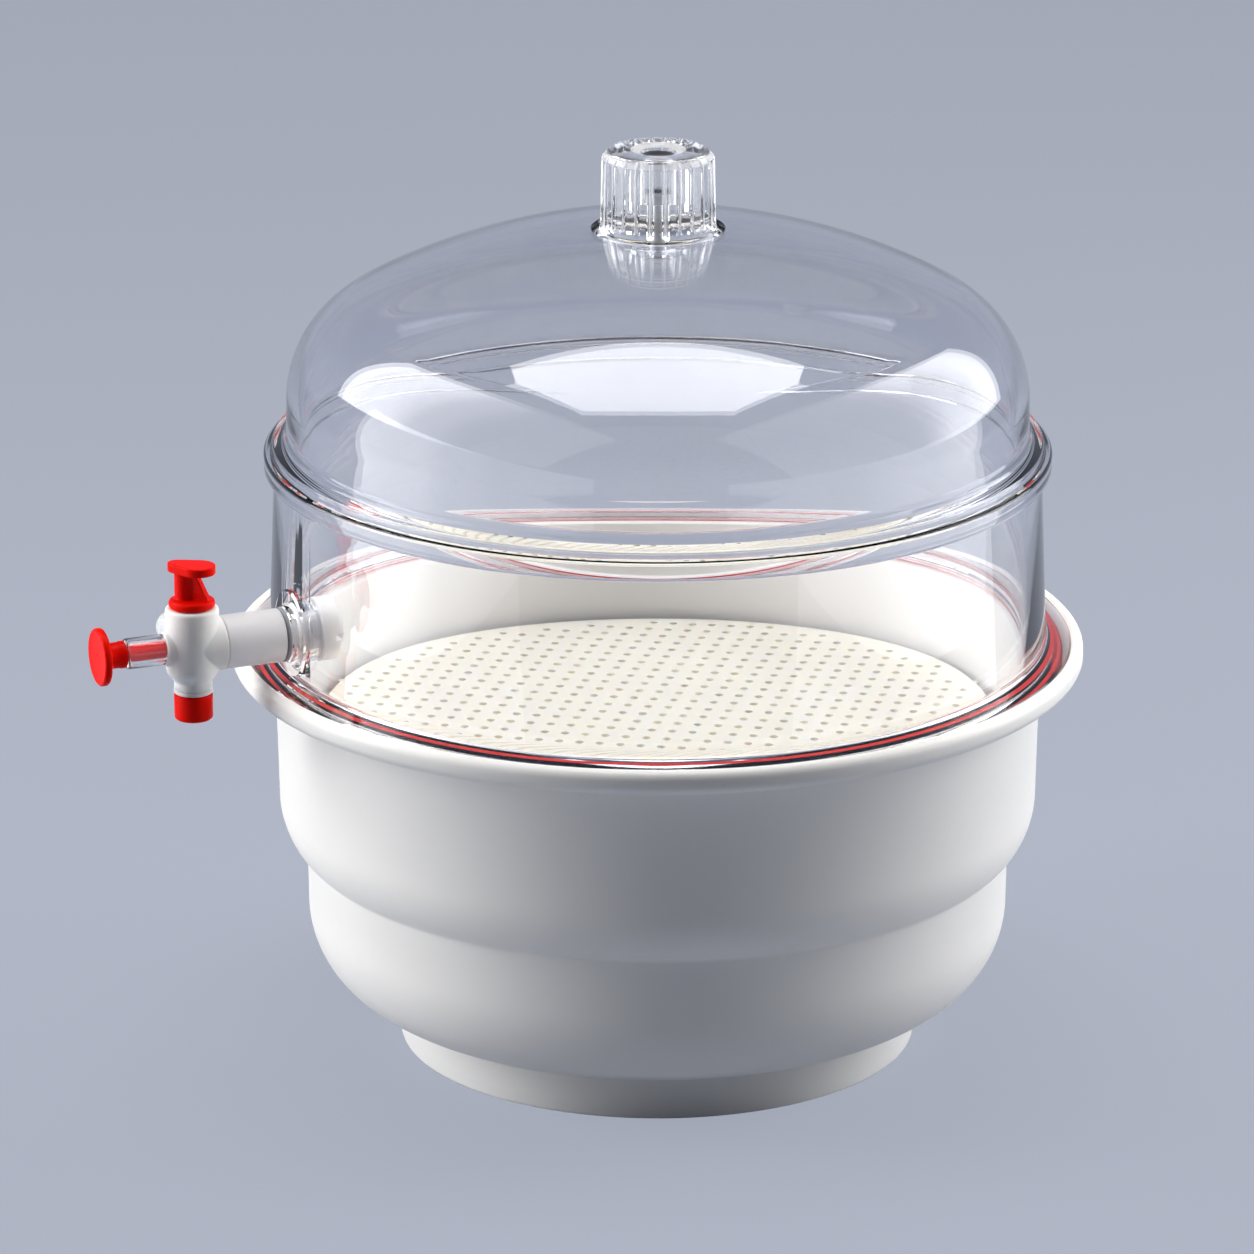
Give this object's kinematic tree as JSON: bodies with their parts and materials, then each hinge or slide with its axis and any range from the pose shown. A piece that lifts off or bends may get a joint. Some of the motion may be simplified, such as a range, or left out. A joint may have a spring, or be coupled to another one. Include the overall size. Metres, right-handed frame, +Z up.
{
  "type": "vacuum desiccator",
  "caption": "Vacuum desiccator: a white bowl with a perforated plate and a red gasket, and a clear domed lid with a fluted knob and a side stopcock.",
  "frame": {"origin": "on the vessel's axis, in the plane that the foot ring stands on", "axes": "+Z up along the vessel's axis, -X from the axis towards the port and the stopcock, +Y the way the hose nozzle points"},
  "size_m": [0.3455, 0.29, 0.313],
  "materials": {
    "white_polypropylene": "satin",
    "ivory_polypropylene": "satin",
    "red_silicone": "matte",
    "clear_polycarbonate": "gloss",
    "frosted_polypropylene": "satin",
    "natural_silicone": "matte",
    "red_polyethylene": "gloss",
    "stainless_screw": "satin"
  },
  "bodies": {
    "base": {"base_bowl": "white_polypropylene", "rim_gasket": "red_silicone"},
    "plate": {"perforated_plate": "ivory_polypropylene"},
    "cover": {"cover_dome": "clear_polycarbonate", "lift_knob": "clear_polycarbonate", "knob_screw": "stainless_screw", "port_seal": "natural_silicone", "port_nut": "white_polypropylene", "spigot_tube": "frosted_polypropylene", "stopcock_barrel": "white_polypropylene", "vent_nozzle": "frosted_polypropylene", "hose_nozzle": "frosted_polypropylene", "slip_washer": "white_polypropylene"},
    "key": {"plug_key": "red_polyethylene", "plug_seal_upper": "natural_silicone", "plug_seal_lower": "natural_silicone", "plug_cap": "red_polyethylene"},
    "stopper": {"vent_stopper": "red_polyethylene"}
  },
  "joints": [
    {"name": "cover_lift", "type": "slide", "parent": "base", "child": "cover", "axis": [0, 0, 1], "range_m": [0, 0.15]},
    {"name": "plate_lift", "type": "slide", "parent": "base", "child": "plate", "axis": [0, 0, 1], "range_m": [0, 0.04]},
    {"name": "key_turn", "type": "hinge", "parent": "cover", "child": "key", "pos_m": [-0.167, 0, 0.159], "axis": [0, 0, 1], "continuous": true},
    {"name": "stopper_pull", "type": "slide", "parent": "cover", "child": "stopper", "axis": [-1, 0, 0], "range_m": [0, 0.015]}
  ]
}
